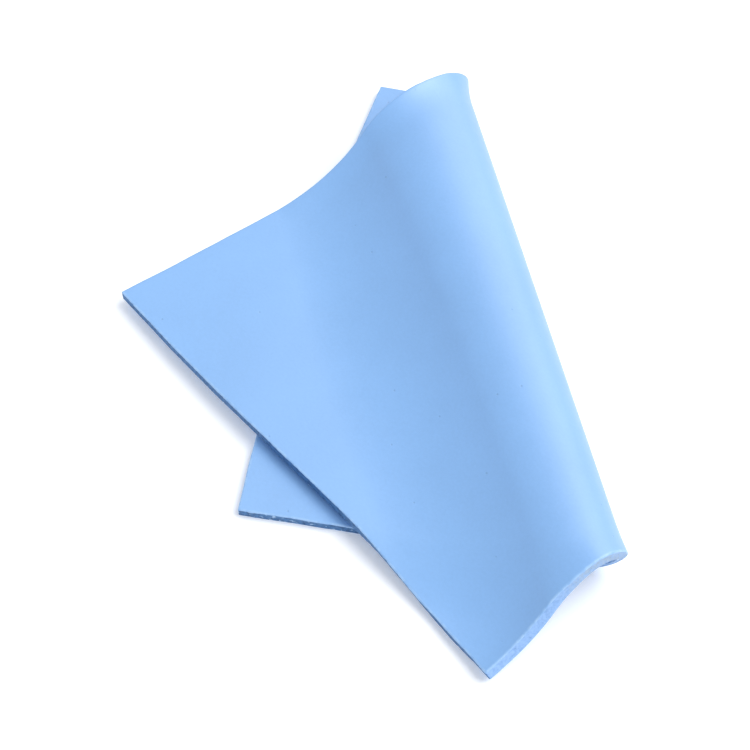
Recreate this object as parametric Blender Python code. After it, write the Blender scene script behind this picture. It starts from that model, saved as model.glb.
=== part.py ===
"""A thermal pad sheet: one square slab of soft silicone gap filler, folded over on itself.

The sheet's lower layer lies on the table. The rest rises round a slanting fold on the right, comes
back over the top and lies on the lower layer. Past that layer's left edge it slopes gently down, and
past its front edge it sags to the table. Metres, +Z up, +X along the sheet's front edge.
"""
import math

import bmesh
import bpy
from mathutils import Matrix, Vector

# The flat sheet
SHEET_LENGTH = 0.100
SHEET_WIDTH = 0.100
THICKNESS = 0.002

# How far the knife leaned over: the sheet's underside is cut this much shorter than its upper side
# at the front edge, and this much longer at the right edge
FRONT_CUT_LEAN = 0.0003
RIGHT_CUT_LEAN = 0.0001

# Where the sheet leaves the table, measured from the left edge along the front and the back edge
FOLD_START_FRONT = 0.0576
FOLD_START_BACK = 0.0072

# The fold's section along its length, from the table upwards: a tight heel, then a wide crown that
# turns past level and heads down by the landing slope, then a landing that levels it out again
HEEL_RADIUS_FRONT = 0.00609
HEEL_RADIUS_BACK = 0.00658
HEEL_TURN_FRONT = math.radians(178.0)
HEEL_TURN_BACK = math.radians(158.8)
CROWN_RADIUS_FRONT = 0.01216
CROWN_RADIUS_MIDDLE = 0.01392
CROWN_RADIUS_BACK = 0.01532
LANDING_SLOPE_FRONT = math.radians(38.1)
LANDING_SLOPE_MIDDLE = math.radians(36.4)
LANDING_SLOPE_BACK = math.radians(46.2)

# Air between the two layers where the top one has landed
LAYER_GAP = 0.0005

# The sheet counts as turned over, and starts to sag, from this share of half a turn
SAG_FROM_TURN = 0.6

# Past the lower layer's left edge the top layer bends to this slope over about this distance
LEFT_SAG_SLOPE = 0.042
LEFT_SAG_BEND = 0.0077

# Past the lower layer's front edge the top layer takes this distance to come down to the table
FRONT_SAG_RUN = 0.0125

# How far the fold flares out at the back and at the front edge, and how far in that is felt
BACK_FLARE = 0.0013
FRONT_FLARE = 0.0005
FLARE_REACH = 0.0063

# How the soft sheet is pushed out of square: its left edge bows outwards, its right and back edges
# hollow inwards, its right edge also waves, in and then out, and all of that is felt this far in
LEFT_BOW = 0.0021
RIGHT_HOLLOW = 0.0005
RIGHT_WAVE = 0.0006
BACK_HOLLOW = 0.0014
WARP_REACH = 0.050

# How far its right edge is set back behind its left edge
RIGHT_SET_BACK = 0.0054

# Grid lines across the sheet, on the flat and past the fold's start, and along its width
FLAT_COLUMNS = 6
FOLDED_COLUMNS = 32
ROWS = 28
# Above one, the lines past the fold's start crowd towards it, where the bend is tightest
BEND_CROWDING = 1.3
# Above zero, the lines along the width crowd towards the front and the back edge, where it flares
EDGE_CROWDING = 0.6

# A step along the sheet, small enough to give its slope
SLOPE_STEP = 0.0002

# Edges that turn by more than this are shaded sharp
SHARP_TURN = math.radians(40.0)

PAD_BLUE = (0.30, 0.55, 0.90, 1.0)
PAD_ROUGHNESS = 0.55


def clear_scene():
    """Removes whatever the file holds, so that the model stands alone."""
    for thing in list(bpy.data.objects):
        bpy.data.objects.remove(thing, do_unlink=True)


def blend(front, back, share):
    """A size partway along the fold, from its front value to its back value."""
    return front + (back - front) * share


def blend_three(front, middle, back, share):
    """A size partway along the fold, from its values at the front, the middle and the back."""
    return blend(front, back, share) + (middle - blend(front, back, 0.5)) * hump(share)


def ease(share):
    """Zero to one with level ends."""
    share = min(max(share, 0.0), 1.0)
    return share * share * (3.0 - 2.0 * share)


def hump(share):
    """One halfway along, zero at both ends and below zero past them."""
    return 4.0 * share * (1.0 - share)


def nearness(distance, reach):
    """One at an edge, falling evenly to zero at a reach from it."""
    return max(1.0 - distance / reach, 0.0)


def fold_frame():
    """The fold line's length, its direction in the flat sheet and the direction across it."""
    line = Vector((FOLD_START_BACK - FOLD_START_FRONT, SHEET_WIDTH))
    along = line.normalized()
    across = Vector((along.y, -along.x))
    return line.length, along, across


def fold_section(share):
    """Radius and turn of the heel, the crown and the landing, at a share of the fold's length.

    The landing's radius is the one that brings the top layer level just above the lower layer.
    """
    heel_radius = blend(HEEL_RADIUS_FRONT, HEEL_RADIUS_BACK, share)
    heel_turn = blend(HEEL_TURN_FRONT, HEEL_TURN_BACK, share)
    crown_radius = blend_three(CROWN_RADIUS_FRONT, CROWN_RADIUS_MIDDLE, CROWN_RADIUS_BACK, share)
    slope = blend_three(LANDING_SLOPE_FRONT, LANDING_SLOPE_MIDDLE, LANDING_SLOPE_BACK, share)
    height = heel_radius * (1.0 - math.cos(heel_turn))
    height += crown_radius * (math.cos(heel_turn) + math.cos(slope))
    drop = height - (THICKNESS + LAYER_GAP)
    landing_radius = drop / (1.0 - math.cos(slope))
    return (
        (heel_radius, heel_turn),
        (crown_radius, math.pi + slope - heel_turn),
        (landing_radius, -slope),
    )


def walk_section(distance, share):
    """Where a point of the sheet lies across the fold, how high, and how far round it has turned.

    The distance is along the sheet from the fold's start line.
    """
    place = Vector((min(distance, 0.0), 0.0))
    heading = 0.0
    left = max(distance, 0.0)
    for radius, turn in fold_section(share):
        part = min(left, radius * abs(turn))
        angle = math.copysign(part / radius, turn)
        side = math.copysign(radius, turn)
        ahead = heading + angle
        place += side * Vector((math.sin(ahead) - math.sin(heading), math.cos(heading) - math.cos(ahead)))
        heading = ahead
        left -= part
    place += left * Vector((math.cos(heading), math.sin(heading)))
    return place.x, place.y, heading


def flare(flat, distance, share):
    """How far the fold flares out next to the back and the front edge: most halfway round it."""
    fold_length = sum(radius * abs(turn) for radius, turn in fold_section(share))
    round_share = min(max(distance / fold_length, 0.0), 1.0)
    at_back = BACK_FLARE * nearness(SHEET_WIDTH - flat.y, FLARE_REACH) ** 2
    at_front = FRONT_FLARE * nearness(flat.y, FLARE_REACH) ** 2
    return (at_back + at_front) * hump(round_share)


def left_bow(share):
    """How far the left edge bows outwards at a share of the sheet's width."""
    return LEFT_BOW * max(hump(share), 0.0)


def pushed_out_of_square(flat):
    """Where a point of the square sheet lies before the fold, once the sheet is a little warped."""
    share_x = flat.x / SHEET_LENGTH
    share_y = flat.y / SHEET_WIDTH
    right_shift = RIGHT_HOLLOW * hump(share_y) + RIGHT_WAVE * math.sin(2.0 * math.pi * share_y)
    x = flat.x - left_bow(share_y) * nearness(flat.x, WARP_REACH)
    x -= right_shift * nearness(SHEET_LENGTH - flat.x, WARP_REACH)
    y = flat.y - BACK_HOLLOW * hump(share_x) * nearness(SHEET_WIDTH - flat.y, WARP_REACH)
    return Vector((x, y + RIGHT_SET_BACK * share_x))


def sag(place, heading):
    """How far the top layer sags past the lower layer's left and front edges."""
    turned_over = ease((heading / math.pi - SAG_FROM_TURN) / (1.0 - SAG_FROM_TURN))
    past_left = max(-place.x - left_bow(place.y / SHEET_WIDTH), 0.0)
    left_sag = LEFT_SAG_SLOPE * (math.hypot(past_left, LEFT_SAG_BEND) - LEFT_SAG_BEND)
    front_sag = (THICKNESS + LAYER_GAP) * ease(-place.y / FRONT_SAG_RUN)
    return turned_over * (left_sag + front_sag)


def middle_surface(flat):
    """Where a point of the flat sheet ends up, halfway through its thickness."""
    length, along, across = fold_frame()
    start = Vector((FOLD_START_FRONT, 0.0))
    offset = pushed_out_of_square(flat) - start
    distance = offset.dot(across)
    share = offset.dot(along) / length
    out, up, heading = walk_section(distance, share)
    flared = flare(flat, distance, share)
    out += flared * math.sin(heading)
    up = max(up - flared * math.cos(heading), 0.0)
    place = start + along * offset.dot(along) + across * out
    return Vector((place.x, place.y, THICKNESS / 2.0 + up - sag(place, heading)))


def folded(flat, height):
    """Where a point of the flat slab ends up, at a height above its middle."""
    step_x = Vector((SLOPE_STEP, 0.0))
    step_y = Vector((0.0, SLOPE_STEP))
    slope_x = middle_surface(flat + step_x) - middle_surface(flat - step_x)
    slope_y = middle_surface(flat + step_y) - middle_surface(flat - step_y)
    return middle_surface(flat) + slope_x.cross(slope_y).normalized() * height


def column_place(column, row_share):
    """Distance from the left edge of a grid line across the sheet, at a share of the width."""
    start = blend(FOLD_START_FRONT, FOLD_START_BACK, row_share)
    if column <= FLAT_COLUMNS:
        return start * column / FLAT_COLUMNS
    share = (column - FLAT_COLUMNS) / FOLDED_COLUMNS
    return start + (SHEET_LENGTH - start) * share ** BEND_CROWDING


def unit_slab():
    """A slab of the sheet's thickness, one across and one wide, whose sides count grid lines."""
    slab = bmesh.new()
    columns = FLAT_COLUMNS + FOLDED_COLUMNS
    grid = bmesh.ops.create_grid(slab, x_segments=columns, y_segments=ROWS, size=0.5)
    bmesh.ops.translate(slab, verts=grid["verts"], vec=(0.5, 0.5, -THICKNESS / 2.0))
    top = bmesh.ops.extrude_face_region(slab, geom=slab.faces[:])
    raised = [piece for piece in top["geom"] if isinstance(piece, bmesh.types.BMVert)]
    bmesh.ops.translate(slab, verts=raised, vec=(0.0, 0.0, THICKNESS))
    return slab


def pad_material():
    """Light blue silicone with a dull sheen."""
    material = bpy.data.materials.new("pad_silicone")
    material.use_nodes = True
    shader = material.node_tree.nodes["Principled BSDF"]
    shader.inputs["Base Color"].default_value = PAD_BLUE
    shader.inputs["Roughness"].default_value = PAD_ROUGHNESS
    shader.inputs["Metallic"].default_value = 0.0
    return material


def stand_at_origin(mesh):
    """Moves a mesh so that it stands on the ground plane, centred on the origin."""
    low = Vector([min(vertex.co[axis] for vertex in mesh.vertices) for axis in range(3)])
    high = Vector([max(vertex.co[axis] for vertex in mesh.vertices) for axis in range(3)])
    foot = Vector(((low.x + high.x) / 2.0, (low.y + high.y) / 2.0, low.z))
    mesh.transform(Matrix.Translation(-foot))


def make_pad(collection):
    """The folded sheet: every point of the flat slab, moved to where the fold takes it."""
    slab = unit_slab()
    for vertex in slab.verts:
        share_x, row_share, height = vertex.co
        share_y = blend(row_share, ease(row_share), EDGE_CROWDING)
        column = share_x * (FLAT_COLUMNS + FOLDED_COLUMNS)
        flat = Vector((column_place(column, share_y), SHEET_WIDTH * share_y))
        lean = height / THICKNESS
        flat.x -= RIGHT_CUT_LEAN * lean * share_x
        flat.y -= FRONT_CUT_LEAN * lean * (1.0 - share_y)
        vertex.co = folded(flat, height)
    bmesh.ops.recalc_face_normals(slab, faces=slab.faces[:])
    mesh = bpy.data.meshes.new("pad_sheet")
    slab.to_mesh(mesh)
    slab.free()
    stand_at_origin(mesh)
    mesh.shade_smooth()
    mesh.set_sharp_from_angle(angle=SHARP_TURN)
    mesh.materials.append(pad_material())
    collection.objects.link(bpy.data.objects.new("pad_sheet", mesh))


def main():
    """Builds the sheet in a collection of its own."""
    clear_scene()
    collection = bpy.data.collections.new("thermal_pad_sheet")
    bpy.context.scene.collection.children.link(collection)
    make_pad(collection)


main()
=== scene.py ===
"""Thermal pad sheet: one square of soft blue silicone gap filler, folded over on itself.

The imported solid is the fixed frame. A fine skin with rounded, roughly cut edges takes its place, and
a pale floor, a soft light and a camera stand round it. Metres, +Z up, +X along the lower layer's
front edge.
"""
import math

import bmesh
import bpy
from mathutils import Matrix, Vector, noise


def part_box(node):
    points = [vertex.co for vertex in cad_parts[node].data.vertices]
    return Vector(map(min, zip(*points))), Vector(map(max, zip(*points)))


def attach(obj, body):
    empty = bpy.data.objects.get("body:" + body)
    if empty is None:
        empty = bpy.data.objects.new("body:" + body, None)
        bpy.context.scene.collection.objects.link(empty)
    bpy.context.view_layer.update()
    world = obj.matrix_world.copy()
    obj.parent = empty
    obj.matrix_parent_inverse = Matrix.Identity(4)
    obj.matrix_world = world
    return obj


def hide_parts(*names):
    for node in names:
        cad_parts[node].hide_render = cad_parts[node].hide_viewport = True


bl_info = {
    "name": "Thermal pad sheet",
    "version": (1, 0, 0),
    "blender": (4, 5, 0),
    "location": "3D View > Sidebar > Thermal pad",
    "description": "A folded sheet of soft silicone gap filler, with its floor, light and camera",
    "category": "Add Mesh",
}

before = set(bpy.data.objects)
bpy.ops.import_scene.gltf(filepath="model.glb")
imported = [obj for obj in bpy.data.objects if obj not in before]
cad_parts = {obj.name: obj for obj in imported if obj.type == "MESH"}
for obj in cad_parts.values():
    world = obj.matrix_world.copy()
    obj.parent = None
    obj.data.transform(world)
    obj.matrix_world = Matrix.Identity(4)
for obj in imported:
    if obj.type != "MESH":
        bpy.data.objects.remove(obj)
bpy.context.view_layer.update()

# Squares of the skin each way, rows of faces down its cut edges, and steps that round its rims
SKIN_SQUARES = 200
CUT_ROWS = 4
RIM_STEPS = 2
# A step along the sheet, small enough to give its slope
SLOPE_STEP = 0.0002
# The sheet counts as turned over, and starts to sag, from this share of half a turn
SAG_FROM_TURN = 0.6
# Edges sharper than this are cut edges, in a slab that is still flat
CUT_ANGLE = math.radians(60.0)
# Faces of that slab whose normals rise less than this are cut faces
CUT_FACE_RISE = 0.1
# Which finish a face has
SKIN_FINISH = 0
CUT_FINISH = 1
# The cuts are smooth at the corners, and as rough as elsewhere from this far along them
CORNER_REACH = 0.003
# The tearing noise: how its layers fade, how much finer each is, how many there are, and how much
# it is raised
TEAR_FADE = 1.0
TEAR_STEP = 2.0
TEAR_LAYERS = 2
TEAR_GAIN = 2.0
# How fine each pattern is, in repeats to the metre
WANDER_FINENESS = 160.0
TEAR_FINENESS = 1300.0
CLOUD_FINENESS = 55.0
GRAIN_FINENESS = 1800.0
SPECK_FINENESS = 210.0
WEAR_FINENESS = 1000.0
SATIN_FINENESS = 400.0
PIT_FINENESS = 1500.0
STREAK_FINENESS = 420.0
SHRED_FINENESS = 900.0
FIBRE_FINENESS = 300.0
MOTTLE_FINENESS = 1600.0
# Layers of detail in a plain pattern and in a fine one, and how strong they are
PLAIN_DETAIL = 2.0
FINE_DETAIL = 3.0
DETAIL_STRENGTH = 0.55
# The part of each pattern's range over which it has its effect
NOISE_RANGE = (0.3, 0.7)
GRAIN_RANGE = (0.25, 0.75)
WEAR_RANGE = (0.35, 0.65)
PIT_RANGE = (0.42, 0.62)
SHRED_RANGE = (0.56, 0.66)
MOTTLE_RANGE = (0.35, 0.60)
# What each pattern does over that range: to brightness, to dullness, or to the share of a colour
CLOUD_SHADES = (0.97, 1.03)
GRAIN_SHADES = (0.975, 1.025)
FIBRE_SHADES = (0.995, 1.005)
SATIN_CHANGES = (-0.04, 0.04)
RIM_HIGHLIGHT_SHARES = (0.05, 0.38)
STREAK_SHARES = (0.4, 1.0)
SHRED_SHARES = (0.0, 0.7)
MOTTLE_SHARES = (0.25, 0.90)
# How high or deep each pattern stands in the surface
CLOUD_HEIGHT = 0.00005
GRAIN_HEIGHT = 0.00001
SPECK_DEPTH = 0.00004
PIT_DEPTH = 0.0002
# Size of a speck, as shares of a repeat: all of it, and to the end of its soft edge
SPECK_CORE = 0.022
SPECK_EDGE = 0.050
SPECK_STRENGTH = 0.40
# Width of the lighter line at the rims, partly painted highlight and partly worn skin: at full strength,
# and to where it has gone
RIM_HIGHLIGHT_CORE = 0.00015
RIM_HIGHLIGHT_EDGE = 0.00050
# Where a cut face stops counting as the front one, and where it starts to count as the right one, as
# shares of the flat sheet
FRONT_CUT_END = (0.005, 0.010)
RIGHT_CUT_START = (0.998, 0.9995)
# Where the front edge's cut turns from painted shade to its lit colour, as shares of its length
SHADED_TO_LIT = (0.54, 0.66)
# Where the front edge is stretched round the fold, as shares of its length: setting in, and ending
BEND_FROM = (0.62, 0.68)
BEND_TO = (0.78, 0.84)
# How much painted shade shows in the pits of the lit cut faces, at most
PIT_SHADE_IN_LIT_CUT = 0.3
# Dullness of the cut faces, from their high spots to their pits
CUT_DULLNESS = (0.62, 0.82)
# Gloss and sheen of the smooth faces, and dullness and gloss of the floor
SKIN_GLOSS = 1.0
SKIN_SHEEN = 0.2
SHEEN_DULLNESS = 0.4
FLOOR_DULLNESS = 0.8
FLOOR_GLOSS = 0.1
# Width of the camera's sensor in millimetres, which its lens is given for
SENSOR_WIDTH = 36.0
# Sockets of a Mix node that mixes two colours
MIX_SHARE = 0
MIX_FIRST = 6
MIX_SECOND = 7
MIX_RESULT = 2


class PadSheetShape(bpy.types.PropertyGroup):
    """Sizes of the flat sheet, of its cut edges and of the fold that it lies in."""

    length: bpy.props.FloatProperty(
        name="Length",
        description="Size of the flat sheet across, from its left edge to its right edge",
        default=0.100,
        unit="LENGTH",
    )
    width: bpy.props.FloatProperty(
        name="Width",
        description="Size of the flat sheet from its front edge to its back edge",
        default=0.100,
        unit="LENGTH",
    )
    thickness: bpy.props.FloatProperty(
        name="Thickness",
        description="Thickness of the sheet",
        default=0.002,
        unit="LENGTH",
    )
    front_cut_lean: bpy.props.FloatProperty(
        name="Front cut lean",
        description="How much shorter the underside is cut than the upper side at the front edge",
        default=0.0003,
        unit="LENGTH",
    )
    right_cut_lean: bpy.props.FloatProperty(
        name="Right cut lean",
        description="How much longer the underside is cut than the upper side at the right edge",
        default=0.0001,
        unit="LENGTH",
    )
    rim_radius: bpy.props.FloatProperty(
        name="Rim radius",
        description="Rounding of the soft edges beside the cut faces",
        default=0.00018,
        unit="LENGTH",
    )
    cut_wander: bpy.props.FloatProperty(
        name="Cut wander",
        description="How far the knife wandered off a straight line",
        default=0.00010,
        unit="LENGTH",
    )
    tear_depth: bpy.props.FloatProperty(
        name="Tear depth",
        description="Depth of the pits that tore out of the cut faces",
        default=0.00016,
        unit="LENGTH",
    )
    fold_start: bpy.props.FloatVectorProperty(
        name="Fold start",
        description="Where the sheet leaves the table, from its left edge, at the front and the back",
        size=2,
        default=(0.0576, 0.0072),
        unit="LENGTH",
    )
    heel_radius: bpy.props.FloatVectorProperty(
        name="Heel radius",
        description="Radius of the tight bend next to the table, at the front and the back",
        size=2,
        default=(0.00609, 0.00658),
        unit="LENGTH",
    )
    heel_turn: bpy.props.FloatVectorProperty(
        name="Heel turn",
        description="How far the tight bend turns, at the front and the back",
        size=2,
        default=(math.radians(178.0), math.radians(158.8)),
        unit="ROTATION",
    )
    crown_radius: bpy.props.FloatVectorProperty(
        name="Crown radius",
        description="Radius of the wide bend at the top, at the front, the middle and the back",
        size=3,
        default=(0.01216, 0.01392, 0.01532),
        unit="LENGTH",
    )
    landing_slope: bpy.props.FloatVectorProperty(
        name="Landing slope",
        description="Steepest slope on the way down, at the front, the middle and the back",
        size=3,
        default=(math.radians(38.1), math.radians(36.4), math.radians(46.2)),
        unit="ROTATION",
    )
    layer_gap: bpy.props.FloatProperty(
        name="Layer gap",
        description="Air between the two layers where the top one has landed",
        default=0.0005,
        unit="LENGTH",
    )
    left_sag_slope: bpy.props.FloatProperty(
        name="Left sag slope",
        description="Slope that the top layer bends down to past the lower layer's left edge",
        default=0.042,
    )
    left_sag_bend: bpy.props.FloatProperty(
        name="Left sag bend",
        description="About how far past that edge the slope takes to set in",
        default=0.0077,
        unit="LENGTH",
    )
    front_sag_run: bpy.props.FloatProperty(
        name="Front sag run",
        description="How far past the lower layer's front edge the top layer comes down to the table",
        default=0.0125,
        unit="LENGTH",
    )
    flare: bpy.props.FloatVectorProperty(
        name="Flare",
        description="How far the fold flares out at the front and at the back edge",
        size=2,
        default=(0.0005, 0.0013),
        unit="LENGTH",
    )
    flare_reach: bpy.props.FloatProperty(
        name="Flare reach",
        description="How far in from those edges the flare is felt",
        default=0.0063,
        unit="LENGTH",
    )
    left_bow: bpy.props.FloatProperty(
        name="Left bow",
        description="How far the left edge bows outwards, halfway along",
        default=0.0021,
        unit="LENGTH",
    )
    right_hollow: bpy.props.FloatProperty(
        name="Right hollow",
        description="How far the right edge hollows inwards, halfway along",
        default=0.0005,
        unit="LENGTH",
    )
    right_wave: bpy.props.FloatProperty(
        name="Right wave",
        description="How far the right edge waves, in and then out",
        default=0.0006,
        unit="LENGTH",
    )
    back_hollow: bpy.props.FloatProperty(
        name="Back hollow",
        description="How far the back edge hollows inwards, halfway along",
        default=0.0014,
        unit="LENGTH",
    )
    warp_reach: bpy.props.FloatProperty(
        name="Warp reach",
        description="How far in from its edge each bow, hollow or wave is felt",
        default=0.050,
        unit="LENGTH",
    )
    right_set_back: bpy.props.FloatProperty(
        name="Right set back",
        description="How far the right edge is set back behind the left edge",
        default=0.0054,
        unit="LENGTH",
    )


class PadSheetFinish(bpy.types.PropertyGroup):
    """Colours and surface of the silicone, with painted shade on the cut faces and a painted highlight
    at the rims.
    """

    skin_colour: bpy.props.FloatVectorProperty(
        name="Skin",
        description="Colour of the sheet's smooth faces",
        subtype="COLOR",
        size=4,
        default=(0.205, 0.415, 0.745, 1.0),
    )
    # Lit copy of the cut colour, for the cut faces that face the light
    lit_cut_colour: bpy.props.FloatVectorProperty(
        name="Lit cut",
        description="Colour of the cut faces that are neither torn nor stretched",
        subtype="COLOR",
        size=4,
        default=(0.280, 0.462, 0.785, 1.0),
    )
    stretched_colour: bpy.props.FloatVectorProperty(
        name="Stretched cut",
        description="Greyer colour that mottles the front cut face where the fold stretches it",
        subtype="COLOR",
        size=4,
        default=(0.330, 0.440, 0.580, 1.0),
    )
    # Painted shade: the right cut and the front cut before the fold face away from the light, so they
    # get this darker copy
    cut_shade_colour: bpy.props.FloatVectorProperty(
        name="Shaded cut",
        description="Colour of the right edge's cut face, and of the front one's before the fold",
        subtype="COLOR",
        size=4,
        default=(0.058, 0.178, 0.400, 1.0),
    )
    # Painted shade down in the pits of the cut faces
    pit_shade_colour: bpy.props.FloatVectorProperty(
        name="Pits",
        description="Colour down in the pits of the torn cut faces",
        subtype="COLOR",
        size=4,
        default=(0.036, 0.100, 0.235, 1.0),
    )
    # Painted highlight: the light line along the cut rims, partly the skin's own lighter wear; the same
    # colour is used for the light shreds on the front cut
    rim_highlight_and_shred_colour: bpy.props.FloatVectorProperty(
        name="Rim",
        description="Colour of the thin line where the skin is stretched over a cut edge",
        subtype="COLOR",
        size=4,
        default=(0.520, 0.740, 0.960, 1.0),
    )
    speck_colour: bpy.props.FloatVectorProperty(
        name="Specks",
        description="Colour of the few grains of filler that show at the surface",
        subtype="COLOR",
        size=4,
        default=(0.120, 0.250, 0.450, 1.0),
    )
    roughness: bpy.props.FloatProperty(
        name="Roughness",
        description="Dullness of the smooth faces",
        default=0.45,
        min=0.0,
        max=1.0,
        subtype="FACTOR",
    )


class PadSheetStage(bpy.types.PropertyGroup):
    """The floor, the light and the camera."""

    floor_colour: bpy.props.FloatVectorProperty(
        name="Floor",
        description="Colour of the floor",
        subtype="COLOR",
        size=4,
        default=(0.96, 0.96, 0.96, 1.0),
    )
    floor_size: bpy.props.FloatProperty(
        name="Floor size",
        description="Width of the floor",
        default=12.0,
        unit="LENGTH",
    )
    floor_glow: bpy.props.FloatProperty(
        name="Floor glow",
        description="Brightness of the floor's own faint glow, which lifts the shadows on it",
        default=0.15,
    )
    dome_strength: bpy.props.FloatProperty(
        name="Dome strength",
        description="Brightness of the even light from all round",
        default=0.68,
    )
    dome_colour: bpy.props.FloatVectorProperty(
        name="Dome",
        description="Colour of the even light",
        subtype="COLOR",
        size=4,
        default=(0.950, 0.990, 1.060, 1.0),
    )
    key_strength: bpy.props.FloatProperty(
        name="Key strength",
        description="Brightness of the soft light from the right",
        default=2.2,
    )
    key_azimuth: bpy.props.FloatProperty(
        name="Key azimuth",
        description="Where the soft light stands, turned from the right towards the back",
        default=math.radians(10.0),
        unit="ROTATION",
    )
    key_elevation: bpy.props.FloatProperty(
        name="Key elevation",
        description="How high above the floor the soft light stands",
        default=math.radians(57.0),
        unit="ROTATION",
    )
    key_spread: bpy.props.FloatProperty(
        name="Key spread",
        description="How wide the soft light looks from the sheet",
        default=math.radians(45.0),
        unit="ROTATION",
    )
    sheen_strength: bpy.props.FloatProperty(
        name="Sheen strength",
        description="Brightness of the wide low light from behind, which only shows as a sheen",
        default=1.2,
    )
    sheen_colour: bpy.props.FloatVectorProperty(
        name="Sheen colour",
        description="Colour of the wide low light",
        subtype="COLOR",
        size=4,
        default=(1.000, 0.900, 0.820, 1.0),
    )
    sheen_azimuth: bpy.props.FloatProperty(
        name="Sheen azimuth",
        description="Where the wide low light stands, turned from the right towards the back",
        default=math.radians(65.0),
        unit="ROTATION",
    )
    sheen_elevation: bpy.props.FloatProperty(
        name="Sheen elevation",
        description="How high above the floor the wide low light stands",
        default=math.radians(40.0),
        unit="ROTATION",
    )
    sheen_spread: bpy.props.FloatProperty(
        name="Sheen spread",
        description="How wide the low light looks from the sheet",
        default=math.radians(60.0),
        unit="ROTATION",
    )
    camera_target: bpy.props.FloatVectorProperty(
        name="Camera target",
        description="The point on the floor that the camera looks at",
        size=3,
        default=(-0.001129, -0.005362, 0.0),
        unit="LENGTH",
    )
    camera_azimuth: bpy.props.FloatProperty(
        name="Camera azimuth",
        description="How far round to the right of the front the camera stands",
        default=math.radians(13.767),
        unit="ROTATION",
    )
    camera_elevation: bpy.props.FloatProperty(
        name="Camera elevation",
        description="How steeply the camera looks down",
        default=math.radians(52.578),
        unit="ROTATION",
    )
    camera_distance: bpy.props.FloatProperty(
        name="Camera distance",
        description="From the camera to its target",
        default=0.41583,
        unit="LENGTH",
    )
    camera_lens: bpy.props.FloatProperty(
        name="Camera lens",
        description="Focal length, in millimetres, for a picture 36 mm wide",
        default=114.98,
    )


def blend(front, back, share):
    """A size partway along the fold, from its front value to its back value."""
    return front + (back - front) * share


def blend_three(sizes, share):
    """A size partway along the fold, from its values at the front, the middle and the back."""
    front, middle, back = sizes
    return blend(front, back, share) + (middle - blend(front, back, 0.5)) * hump(share)


def ease(share):
    """Zero to one with level ends."""
    share = min(max(share, 0.0), 1.0)
    return share * share * (3.0 - 2.0 * share)


def hump(share):
    """One halfway along, zero at both ends and below zero past them."""
    return 4.0 * share * (1.0 - share)


def nearness(distance, reach):
    """One at an edge, falling evenly to zero at a reach from it."""
    return max(1.0 - distance / reach, 0.0)


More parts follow.
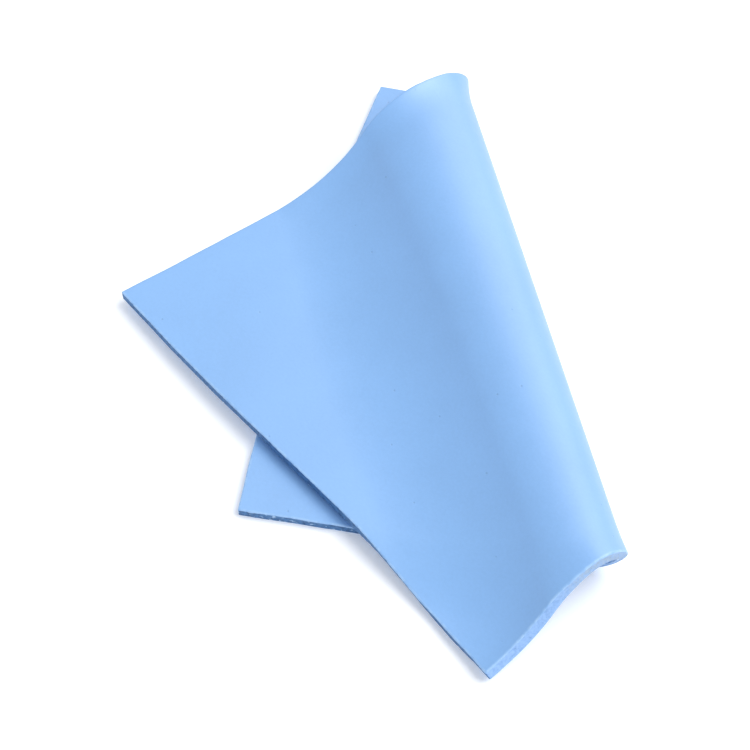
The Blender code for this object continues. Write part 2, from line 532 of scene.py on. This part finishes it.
class Fold:
    """Takes points of the flat sheet to where they lie in the folded sheet."""

    def __init__(self, shape):
        self.shape = shape
        line = Vector((shape.fold_start[1] - shape.fold_start[0], shape.width))
        self.start = Vector((shape.fold_start[0], 0.0))
        self.length = line.length
        self.along = line.normalized()
        self.across = Vector((self.along.y, -self.along.x))

    def section(self, share):
        """Radius and turn of the heel, the crown and the landing, at a share of the fold's length.

        The landing's radius is the one that brings the top layer level just above the lower layer.
        """
        shape = self.shape
        heel_radius = blend(*shape.heel_radius, share)
        heel_turn = blend(*shape.heel_turn, share)
        crown_radius = blend_three(shape.crown_radius, share)
        slope = blend_three(shape.landing_slope, share)
        height = heel_radius * (1.0 - math.cos(heel_turn))
        height += crown_radius * (math.cos(heel_turn) + math.cos(slope))
        drop = height - (shape.thickness + shape.layer_gap)
        landing_radius = drop / (1.0 - math.cos(slope))
        return (
            (heel_radius, heel_turn),
            (crown_radius, math.pi + slope - heel_turn),
            (landing_radius, -slope),
        )

    def walk(self, distance, share):
        """Where a point lies across the fold, how high, and how far round the sheet has turned."""
        out = min(distance, 0.0)
        up = 0.0
        heading = 0.0
        left = max(distance, 0.0)
        for radius, turn in self.section(share):
            part = min(left, radius * abs(turn))
            ahead = heading + math.copysign(part / radius, turn)
            side = math.copysign(radius, turn)
            out += side * (math.sin(ahead) - math.sin(heading))
            up += side * (math.cos(heading) - math.cos(ahead))
            heading = ahead
            left -= part
        return out + left * math.cos(heading), up + left * math.sin(heading), heading

    def flared(self, flat, distance, share):
        """How far the fold flares out next to the front and the back edge: most halfway round it."""
        shape = self.shape
        fold_length = sum(radius * abs(turn) for radius, turn in self.section(share))
        round_share = min(max(distance / fold_length, 0.0), 1.0)
        at_front = shape.flare[0] * nearness(flat.y, shape.flare_reach) ** 2
        at_back = shape.flare[1] * nearness(shape.width - flat.y, shape.flare_reach) ** 2
        return (at_front + at_back) * hump(round_share)

    def bow(self, share):
        """How far the left edge bows outwards at a share of the sheet's width."""
        return self.shape.left_bow * max(hump(share), 0.0)

    def warped(self, flat):
        """Where a point of the square sheet lies before the fold, once the sheet is out of square."""
        shape = self.shape
        share_x = flat.x / shape.length
        share_y = flat.y / shape.width
        shift = shape.right_hollow * hump(share_y) + shape.right_wave * math.sin(2.0 * math.pi * share_y)
        x = flat.x - self.bow(share_y) * nearness(flat.x, shape.warp_reach)
        x -= shift * nearness(shape.length - flat.x, shape.warp_reach)
        y = flat.y - shape.back_hollow * hump(share_x) * nearness(shape.width - flat.y, shape.warp_reach)
        return Vector((x, y + shape.right_set_back * share_x))

    def sag(self, place, heading):
        """How far the top layer sags past the lower layer's left and front edges."""
        shape = self.shape
        turned_over = ease((heading / math.pi - SAG_FROM_TURN) / (1.0 - SAG_FROM_TURN))
        past_left = max(-place.x - self.bow(place.y / shape.width), 0.0)
        bend = shape.left_sag_bend
        left_sag = shape.left_sag_slope * (math.hypot(past_left, bend) - bend)
        front_sag = (shape.thickness + shape.layer_gap) * ease(-place.y / shape.front_sag_run)
        return turned_over * (left_sag + front_sag)

    def middle(self, flat):
        """Where a point of the flat sheet ends up, halfway through its thickness."""
        offset = self.warped(flat) - self.start
        distance = offset.dot(self.across)
        ahead = offset.dot(self.along)
        share = ahead / self.length
        out, up, heading = self.walk(distance, share)
        flared = self.flared(flat, distance, share)
        out += flared * math.sin(heading)
        up = max(up - flared * math.cos(heading), 0.0)
        place = self.start + self.along * ahead + self.across * out
        return Vector((place.x, place.y, self.shape.thickness / 2.0 + up - self.sag(place, heading)))

    def place(self, flat, height):
        """Where a point of the flat slab ends up, at a height above its middle."""
        step_x = Vector((SLOPE_STEP, 0.0))
        step_y = Vector((0.0, SLOPE_STEP))
        slope_x = self.middle(flat + step_x) - self.middle(flat - step_x)
        slope_y = self.middle(flat + step_y) - self.middle(flat - step_y)
        return self.middle(flat) + slope_x.cross(slope_y).normalized() * height


def flat_slab(shape):
    """The sheet before it is folded: a fine slab with rounded rims and rows of faces down its cuts."""
    slab = bmesh.new()
    # A grid one metre wide, moved to start at the origin and scaled to the sheet
    grid = bmesh.ops.create_grid(slab, x_segments=SKIN_SQUARES, y_segments=SKIN_SQUARES, size=0.5)
    bmesh.ops.translate(slab, verts=grid["verts"], vec=(0.5, 0.5, 0.0))
    bmesh.ops.scale(slab, verts=grid["verts"], vec=(shape.length, shape.width, 1.0))
    bmesh.ops.translate(slab, verts=grid["verts"], vec=(0.0, 0.0, -shape.thickness / 2.0))
    top = bmesh.ops.extrude_face_region(slab, geom=slab.faces[:])
    raised = [piece for piece in top["geom"] if isinstance(piece, bmesh.types.BMVert)]
    bmesh.ops.translate(slab, verts=raised, vec=(0.0, 0.0, shape.thickness))
    bmesh.ops.recalc_face_normals(slab, faces=slab.faces[:])
    rims = [edge for edge in slab.edges if edge.calc_face_angle() > CUT_ANGLE]
    bmesh.ops.bevel(
        slab,
        geom=rims,
        offset=shape.rim_radius,
        segments=RIM_STEPS,
        profile=0.5,
        affect="EDGES",
        material=-1,
    )
    half_thickness = shape.thickness / 2.0
    uprights = []
    for edge in slab.edges:
        rise = abs(edge.verts[0].co.z - edge.verts[1].co.z)
        if rise > half_thickness:
            uprights.append(edge)
    bmesh.ops.subdivide_edges(slab, edges=uprights, cuts=CUT_ROWS - 1, use_grid_fill=True)
    return slab


def roughen_cut(flat, height, shape):
    """Moves a point of the flat slab where the knife wandered and where the cut face tore."""
    radius = shape.rim_radius
    inner = Vector((
        min(max(flat.x, radius), shape.length - radius),
        min(max(flat.y, radius), shape.width - radius),
    ))
    outwards = flat - inner
    share = min(outwards.length / radius, 1.0)
    if share == 0.0:
        return flat
    outwards.normalize()
    from_corner = max(
        min(flat.x, shape.length - flat.x),
        min(flat.y, shape.width - flat.y),
    )
    share *= ease(from_corner / CORNER_REACH)
    spot = Vector((flat.x, flat.y, height))
    wander = noise.noise(spot * WANDER_FINENESS) * shape.cut_wander
    middle_share = max(1.0 - (2.0 * height / shape.thickness) ** 2, 0.0)
    tear = noise.fractal(spot * TEAR_FINENESS, TEAR_FADE, TEAR_STEP, TEAR_LAYERS)
    tear = max(tear, 0.0) * shape.tear_depth * TEAR_GAIN * middle_share
    return flat + outwards * share * (wander - tear)


def fold_slab(slab, shape):
    """Folds the flat slab, and keeps its flat place as a UV map for its finish."""
    flat_map = slab.loops.layers.uv.new("flat_place")
    for face in slab.faces:
        face.smooth = True
        face.material_index = CUT_FINISH if abs(face.normal.z) < CUT_FACE_RISE else SKIN_FINISH
        for corner in face.loops:
            place = corner.vert.co
            corner[flat_map].uv = (place.x / shape.length, place.y / shape.width)
    fold = Fold(shape)
    for vertex in slab.verts:
        height = vertex.co.z
        flat = roughen_cut(vertex.co.xy, height, shape)
        lean = height / shape.thickness
        flat.x -= shape.right_cut_lean * lean * flat.x / shape.length
        flat.y -= shape.front_cut_lean * lean * (1.0 - flat.y / shape.width)
        vertex.co = fold.place(flat, height)
    bmesh.ops.recalc_face_normals(slab, faces=slab.faces[:])


def stand_in_box(mesh, box):
    """Moves a mesh so that it stands in the middle of a box, on the box's floor."""
    low = Vector([min(vertex.co[axis] for vertex in mesh.vertices) for axis in range(3)])
    high = Vector([max(vertex.co[axis] for vertex in mesh.vertices) for axis in range(3)])
    foot = (low + high) / 2.0
    foot.z = low.z
    goal = (box[0] + box[1]) / 2.0
    goal.z = box[0].z
    mesh.transform(Matrix.Translation(goal - foot))


def add_node(tree, kind, inputs, **settings):
    """Adds a node, sets it up and gives each input a value or another node's output."""
    made = tree.nodes.new(kind)
    for name, value in settings.items():
        setattr(made, name, value)
    for name, value in inputs.items():
        if isinstance(value, bpy.types.NodeSocket):
            tree.links.new(value, made.inputs[name])
        else:
            made.inputs[name].default_value = value
    return made


def noise_output(tree, place, fineness, detail=PLAIN_DETAIL):
    """A noise pattern between zero and one."""
    inputs = {"Vector": place, "Scale": fineness, "Detail": detail, "Roughness": DETAIL_STRENGTH}
    return add_node(tree, "ShaderNodeTexNoise", inputs).outputs["Fac"]


def ramp(tree, value, low, high, to_low=0.0, to_high=1.0):
    """A value taken from one range to another, and held at its ends."""
    inputs = {"Value": value, "From Min": low, "From Max": high, "To Min": to_low, "To Max": to_high}
    return add_node(tree, "ShaderNodeMapRange", inputs).outputs["Result"]


def calculate(tree, operation, first, second):
    """One sum of two values."""
    inputs = {0: first, 1: second}
    return add_node(tree, "ShaderNodeMath", inputs, operation=operation).outputs["Value"]


def mix_colours(tree, share, first, second):
    """A colour between two others."""
    inputs = {MIX_SHARE: share, MIX_FIRST: first, MIX_SECOND: second}
    return add_node(tree, "ShaderNodeMix", inputs, data_type="RGBA").outputs[MIX_RESULT]


def flat_place(tree):
    """Where a point lies on the flat sheet, as shares of its length and its width."""
    flat_map = add_node(tree, "ShaderNodeUVMap", {}, uv_map="flat_place")
    return add_node(tree, "ShaderNodeSeparateXYZ", {"Vector": flat_map.outputs["UV"]}).outputs


def edge_distance(tree, shape):
    """Distance along the sheet to its left, right or front edge, whichever is nearest."""
    flat = flat_place(tree)
    from_left = calculate(tree, "MULTIPLY", flat["X"], shape.length)
    from_right = calculate(tree, "SUBTRACT", shape.length, from_left)
    from_front = calculate(tree, "MULTIPLY", flat["Y"], shape.width)
    return calculate(tree, "MINIMUM", calculate(tree, "MINIMUM", from_left, from_right), from_front)


def new_material(name):
    """An empty material with its shader and the sheet's own coordinates."""
    material = bpy.data.materials.new(name)
    material.use_nodes = True
    tree = material.node_tree
    shader = tree.nodes["Principled BSDF"]
    place = add_node(tree, "ShaderNodeTexCoord", {}).outputs["Object"]
    return material, tree, shader, place


def add_bump(tree, shader, height):
    """Raises the surface by a height in metres."""
    inputs = {"Height": height, "Distance": 1.0, "Strength": 1.0}
    bump = add_node(tree, "ShaderNodeBump", inputs)
    tree.links.new(bump.outputs["Normal"], shader.inputs["Normal"])


def skin_material(finish, shape):
    """Smooth, satin silicone: faint clouds, fine grain, a few specks and a lighter line at the rims,
    partly painted highlight and partly worn skin.
    """
    material, tree, shader, place = new_material("silicone_skin")
    clouds = noise_output(tree, place, CLOUD_FINENESS, FINE_DETAIL)
    grain = noise_output(tree, place, GRAIN_FINENESS)
    shade = ramp(tree, clouds, *NOISE_RANGE, *CLOUD_SHADES)
    shade = calculate(tree, "MULTIPLY", shade, ramp(tree, grain, *GRAIN_RANGE, *GRAIN_SHADES))
    inputs = {"Color": tuple(finish.skin_colour), "Value": shade}
    toned = add_node(tree, "ShaderNodeHueSaturation", inputs)
    inputs = {"Vector": place, "Scale": SPECK_FINENESS}
    cells = add_node(tree, "ShaderNodeTexVoronoi", inputs)
    speck = ramp(tree, cells.outputs["Distance"], SPECK_CORE, SPECK_EDGE, 1.0, 0.0)
    speck_share = calculate(tree, "MULTIPLY", speck, SPECK_STRENGTH)
    specked = mix_colours(tree, speck_share, toned.outputs["Color"], tuple(finish.speck_colour))
    # Painted highlight along the rims of the left, right and front cuts, left off the back edge and
    # broken up by wear
    rim = ramp(tree, edge_distance(tree, shape), RIM_HIGHLIGHT_CORE, RIM_HIGHLIGHT_EDGE, 1.0, 0.0)
    worn = noise_output(tree, place, WEAR_FINENESS)
    rim_highlight_share = calculate(tree, "MULTIPLY", rim, ramp(tree, worn, *WEAR_RANGE, *RIM_HIGHLIGHT_SHARES))
    coloured = mix_colours(tree, rim_highlight_share, specked, tuple(finish.rim_highlight_and_shred_colour))
    tree.links.new(coloured, shader.inputs["Base Color"])
    satin = ramp(tree, noise_output(tree, place, SATIN_FINENESS), *NOISE_RANGE, *SATIN_CHANGES)
    dullness = calculate(tree, "ADD", satin, finish.roughness)
    tree.links.new(dullness, shader.inputs["Roughness"])
    shader.inputs["Specular IOR Level"].default_value = SKIN_GLOSS
    shader.inputs["Sheen Weight"].default_value = SKIN_SHEEN
    shader.inputs["Sheen Roughness"].default_value = SHEEN_DULLNESS
    height = calculate(tree, "MULTIPLY", clouds, CLOUD_HEIGHT)
    height = calculate(tree, "ADD", height, calculate(tree, "MULTIPLY", grain, GRAIN_HEIGHT))
    height = calculate(tree, "SUBTRACT", height, calculate(tree, "MULTIPLY", speck, SPECK_DEPTH))
    add_bump(tree, shader, height)
    return material


def cut_material(finish):
    """Cut silicone: a lit colour, painted shade on the right edge and on the front before the fold,
    painted shade in the pits, and a grey mottle on the front's bend.
    """
    material, tree, shader, place = new_material("silicone_cut")
    flat = flat_place(tree)
    at_front = ramp(tree, flat["Y"], *FRONT_CUT_END, 1.0, 0.0)
    before_fold = ramp(tree, flat["X"], *SHADED_TO_LIT, 1.0, 0.0)
    at_right = ramp(tree, flat["X"], *RIGHT_CUT_START)
    # Painted shade: the front cut before the fold and the right cut face away from the light, so they
    # take the darker colour
    shaded_front = calculate(tree, "MULTIPLY", at_front, before_fold)
    shade_share = calculate(tree, "MAXIMUM", at_right, shaded_front)
    pits = noise_output(tree, place, PIT_FINENESS, FINE_DETAIL)
    streaks = ramp(tree, noise_output(tree, place, STREAK_FINENESS), *NOISE_RANGE, *STREAK_SHARES)
    depth = calculate(tree, "MULTIPLY", ramp(tree, pits, *PIT_RANGE), streaks)
    # Painted shade, darker still down in the pits
    shaded_cut = mix_colours(tree, depth, tuple(finish.cut_shade_colour), tuple(finish.pit_shade_colour))
    shreds = ramp(tree, noise_output(tree, place, SHRED_FINENESS), *SHRED_RANGE, *SHRED_SHARES)
    shreds = calculate(tree, "MULTIPLY", shreds, shaded_front)
    # Light shreds on the shaded front cut, in the same colour as the painted rim highlight
    shaded_cut = mix_colours(tree, shreds, shaded_cut, tuple(finish.rim_highlight_and_shred_colour))
    # A little painted pit shade shows in the lit cut too
    pit_shade_in_lit = calculate(tree, "MULTIPLY", depth, PIT_SHADE_IN_LIT_CUT)
    lit_cut = mix_colours(tree, pit_shade_in_lit, tuple(finish.lit_cut_colour), tuple(finish.cut_shade_colour))
    mottle = ramp(tree, noise_output(tree, place, MOTTLE_FINENESS), *MOTTLE_RANGE, *MOTTLE_SHARES)
    onto_bend = ramp(tree, flat["X"], *BEND_FROM)
    off_bend = ramp(tree, flat["X"], *BEND_TO, 1.0, 0.0)
    on_bend = calculate(tree, "MULTIPLY", calculate(tree, "MULTIPLY", onto_bend, off_bend), at_front)
    stretched = calculate(tree, "MULTIPLY", on_bend, mottle)
    lit_cut = mix_colours(tree, stretched, lit_cut, tuple(finish.stretched_colour))
    # The lit cut colour, or the painted shade where the cut faces away from the light
    coloured = mix_colours(tree, shade_share, lit_cut, shaded_cut)
    tree.links.new(coloured, shader.inputs["Base Color"])
    tree.links.new(ramp(tree, pits, *NOISE_RANGE, *CUT_DULLNESS), shader.inputs["Roughness"])
    add_bump(tree, shader, calculate(tree, "MULTIPLY", pits, -PIT_DEPTH))
    return material


class PADSHEET_OT_build_sheet(bpy.types.Operator):
    """Makes the folded sheet's fine skin in place of its solid"""

    bl_idname = "padsheet.build_sheet"
    bl_label = "Folded sheet"

    def execute(self, context):
        shape = context.scene.pad_sheet_shape
        slab = flat_slab(shape)
        fold_slab(slab, shape)
        mesh = bpy.data.meshes.new("silicone_sheet")
        slab.to_mesh(mesh)
        slab.free()
        stand_in_box(mesh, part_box("pad_sheet"))
        finish = context.scene.pad_sheet_finish
        mesh.materials.append(skin_material(finish, shape))
        mesh.materials.append(cut_material(finish))
        sheet = bpy.data.objects.new("silicone_sheet", mesh)
        context.scene.collection.objects.link(sheet)
        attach(sheet, "root")
        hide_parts("pad_sheet")
        return {"FINISHED"}


class PADSHEET_OT_build_stage(bpy.types.Operator):
    """Makes the pale floor, the soft light and the camera"""

    bl_idname = "padsheet.build_stage"
    bl_label = "Floor, light and camera"

    def execute(self, context):
        stage = context.scene.pad_sheet_stage
        self.build_floor(context, stage)
        self.build_light(context, stage)
        self.build_camera(context, stage)
        return {"FINISHED"}

    def build_floor(self, context, stage):
        """A wide plain floor."""
        slab = bmesh.new()
        bmesh.ops.create_grid(slab, x_segments=1, y_segments=1, size=stage.floor_size / 2.0)
        mesh = bpy.data.meshes.new("floor")
        slab.to_mesh(mesh)
        slab.free()
        material, tree, shader, place = new_material("floor_paper")
        fibres = noise_output(tree, place, FIBRE_FINENESS, FINE_DETAIL)
        shade = ramp(tree, fibres, *NOISE_RANGE, *FIBRE_SHADES)
        inputs = {"Color": tuple(stage.floor_colour), "Value": shade}
        toned = add_node(tree, "ShaderNodeHueSaturation", inputs)
        tree.links.new(toned.outputs["Color"], shader.inputs["Base Color"])
        shader.inputs["Roughness"].default_value = FLOOR_DULLNESS
        shader.inputs["Specular IOR Level"].default_value = FLOOR_GLOSS
        shader.inputs["Emission Color"].default_value = tuple(stage.floor_colour)
        shader.inputs["Emission Strength"].default_value = stage.floor_glow
        mesh.materials.append(material)
        floor = bpy.data.objects.new("floor", mesh)
        context.scene.collection.objects.link(floor)

    def build_light(self, context, stage):
        """An even dome, a soft light from the right and a wide low one from behind."""
        world = bpy.data.worlds.new("studio")
        world.use_nodes = True
        dome = world.node_tree.nodes["Background"]
        dome.inputs["Color"].default_value = tuple(stage.dome_colour)
        dome.inputs["Strength"].default_value = stage.dome_strength
        context.scene.world = world
        key = from_angles(stage.key_azimuth, stage.key_elevation)
        self.add_lamp(context, "key", stage.key_strength, stage.key_spread, key)
        sheen = from_angles(stage.sheen_azimuth, stage.sheen_elevation)
        lamp = self.add_lamp(context, "sheen", stage.sheen_strength, stage.sheen_spread, sheen)
        lamp.data.color = stage.sheen_colour[:3]
        lamp.visible_diffuse = False

    def add_lamp(self, context, name, strength, spread, away):
        """A far light that looks as wide as its spread."""
        lamp = bpy.data.lights.new(name, "SUN")
        lamp.energy = strength
        lamp.angle = spread
        made = bpy.data.objects.new(name, lamp)
        made.rotation_mode = "QUATERNION"
        made.rotation_quaternion = away.to_track_quat("Z", "Y")
        context.scene.collection.objects.link(made)
        return made

    def build_camera(self, context, stage):
        """A camera that frames the sheet as the photograph does."""
        lens = bpy.data.cameras.new("camera")
        lens.lens = stage.camera_lens
        lens.sensor_width = SENSOR_WIDTH
        camera = bpy.data.objects.new("camera", lens)
        away = from_angles(stage.camera_azimuth - math.pi / 2.0, stage.camera_elevation)
        camera.location = Vector(stage.camera_target) + away * stage.camera_distance
        camera.rotation_mode = "QUATERNION"
        camera.rotation_quaternion = away.to_track_quat("Z", "Y")
        context.scene.collection.objects.link(camera)
        context.scene.camera = camera


def from_angles(azimuth, elevation):
    """A direction turned from +X towards +Y, and up."""
    level = math.cos(elevation)
    return Vector((level * math.cos(azimuth), level * math.sin(azimuth), math.sin(elevation)))


class PADSHEET_PT_panel(bpy.types.Panel):
    """Builds the thermal pad sheet from its sizes, colours and lights"""

    bl_idname = "PADSHEET_PT_panel"
    bl_label = "Thermal pad sheet"
    bl_space_type = "VIEW_3D"
    bl_region_type = "UI"
    bl_category = "Thermal pad"

    def draw(self, context):
        layout = self.layout
        scene = context.scene
        for operator, settings in (
            (PADSHEET_OT_build_sheet, (scene.pad_sheet_shape, scene.pad_sheet_finish)),
            (PADSHEET_OT_build_stage, (scene.pad_sheet_stage,)),
        ):
            layout.operator(operator.bl_idname)
            for group in settings:
                for name in group.__annotations__:
                    layout.prop(group, name)


CLASSES = (
    PadSheetShape,
    PadSheetFinish,
    PadSheetStage,
    PADSHEET_OT_build_sheet,
    PADSHEET_OT_build_stage,
    PADSHEET_PT_panel,
)


def register():
    """Adds the properties, the operators and the panel."""
    for kind in CLASSES:
        bpy.utils.register_class(kind)
    bpy.types.Scene.pad_sheet_shape = bpy.props.PointerProperty(type=PadSheetShape)
    bpy.types.Scene.pad_sheet_finish = bpy.props.PointerProperty(type=PadSheetFinish)
    bpy.types.Scene.pad_sheet_stage = bpy.props.PointerProperty(type=PadSheetStage)


def unregister():
    """Takes them away again."""
    del bpy.types.Scene.pad_sheet_stage
    del bpy.types.Scene.pad_sheet_finish
    del bpy.types.Scene.pad_sheet_shape
    for kind in reversed(CLASSES):
        bpy.utils.unregister_class(kind)


def main():
    """Builds every piece in order."""
    register()
    # Colours are shown as they are, without a film look
    bpy.context.scene.view_settings.view_transform = "Standard"
    bpy.ops.padsheet.build_stage()
    bpy.ops.padsheet.build_sheet()


if __name__ == "__main__":
    main()
